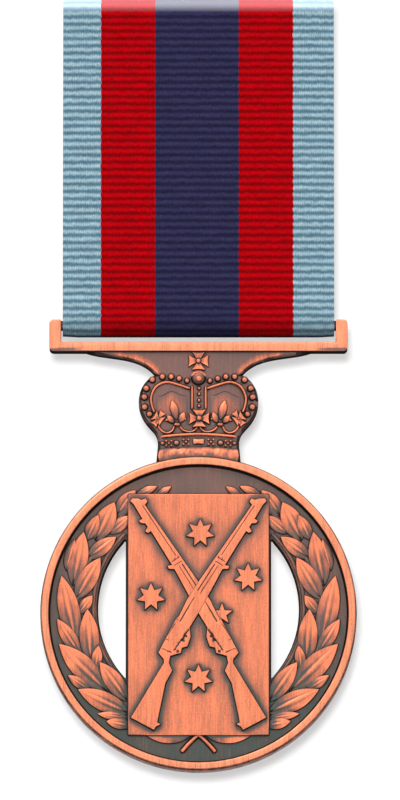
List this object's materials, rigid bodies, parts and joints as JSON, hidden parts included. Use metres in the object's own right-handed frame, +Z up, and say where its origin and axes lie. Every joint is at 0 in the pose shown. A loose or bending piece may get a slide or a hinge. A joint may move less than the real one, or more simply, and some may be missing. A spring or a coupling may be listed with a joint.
{
  "type": "service medal",
  "caption": "Pierced round bronze medal with crown, wreath and crossed rifles, swinging from a slotted bar on a striped ribbon with a pin-back brooch.",
  "frame": {"origin": "middle of the brooch pin's shank, on its axis", "axes": "+Z up along the ribbon, the medal's face looks to -Y, +X along the brooch pin towards its point"},
  "size_m": [0.038, 0.0064, 0.0931],
  "materials": {
    "bronze_relief": "brushed, bright high points",
    "bronze_ground": "antiqued, dark patina",
    "ribbon_cloth": "ribbed weave, five stripes",
    "thread": "sewing thread",
    "brooch_brass": "satin",
    "pin_steel": "drawn wire"
  },
  "bodies": {
    "brooch": {"brooch_plate": "brooch_brass", "pin_hinge_block": "brooch_brass", "hinge_rivet": "pin_steel", "catch_post": "brooch_brass", "ribbon_head": "ribbon_cloth"},
    "pin": {"brooch_pin": "pin_steel"},
    "catch": {"catch_roller": "brooch_brass"},
    "ribbon": {"ribbon_drop": "ribbon_cloth", "ribbon_stitching": "thread"},
    "medal": {"centre_plaque": "bronze_relief", "circlet_jewels": "bronze_relief", "circlet_wire": "bronze_relief", "crown_arches": "bronze_relief", "crown_centre_pearls": "bronze_relief", "crown_centre_posts": "bronze_relief", "crown_fleurs": "bronze_relief", "crown_front_cross": "bronze_relief", "crown_orb": "bronze_relief", "crown_pearls_left": "bronze_relief", "crown_pearls_right": "bronze_relief", "crown_plate": "bronze_ground", "crown_side_crosses": "bronze_relief", "crown_swags": "bronze_relief", "disc_field": "bronze_ground", "ermine_band": "bronze_relief", "opening_ledges": "bronze_relief", "rifle_front": "bronze_relief", "rifle_rear": "bronze_relief", "rim_ring": "bronze_relief", "star_bottom": "bronze_relief", "star_left": "bronze_relief", "star_right": "bronze_relief", "star_small": "bronze_relief", "star_top": "bronze_relief", "suspender_frame": "bronze_relief", "suspender_rail": "bronze_relief", "wreath_left": "bronze_relief", "wreath_right": "bronze_relief", "wreath_sprig": "bronze_relief", "yoke": "bronze_ground", "yoke_cross": "bronze_relief"}
  },
  "joints": [
    {"name": "pin_swing", "type": "hinge", "parent": "brooch", "child": "pin", "pos_m": [-0.0132, 0, 0], "axis": [0, 0, 1], "range_deg": [0, 70]},
    {"name": "catch_turn", "type": "hinge", "parent": "brooch", "child": "catch", "pos_m": [0.0134, 0, 0], "axis": [1, 0, 0], "range_deg": [0, 110]},
    {"name": "ribbon_bend", "type": "hinge", "parent": "brooch", "child": "ribbon", "pos_m": [0, -0.0032, -0.0046], "axis": [1, 0, 0], "range_deg": [-25, 25]},
    {"name": "medal_swing", "type": "hinge", "parent": "ribbon", "child": "medal", "pos_m": [0, -0.0032, -0.03427], "axis": [1, 0, 0], "range_deg": [-85, 85]}
  ]
}
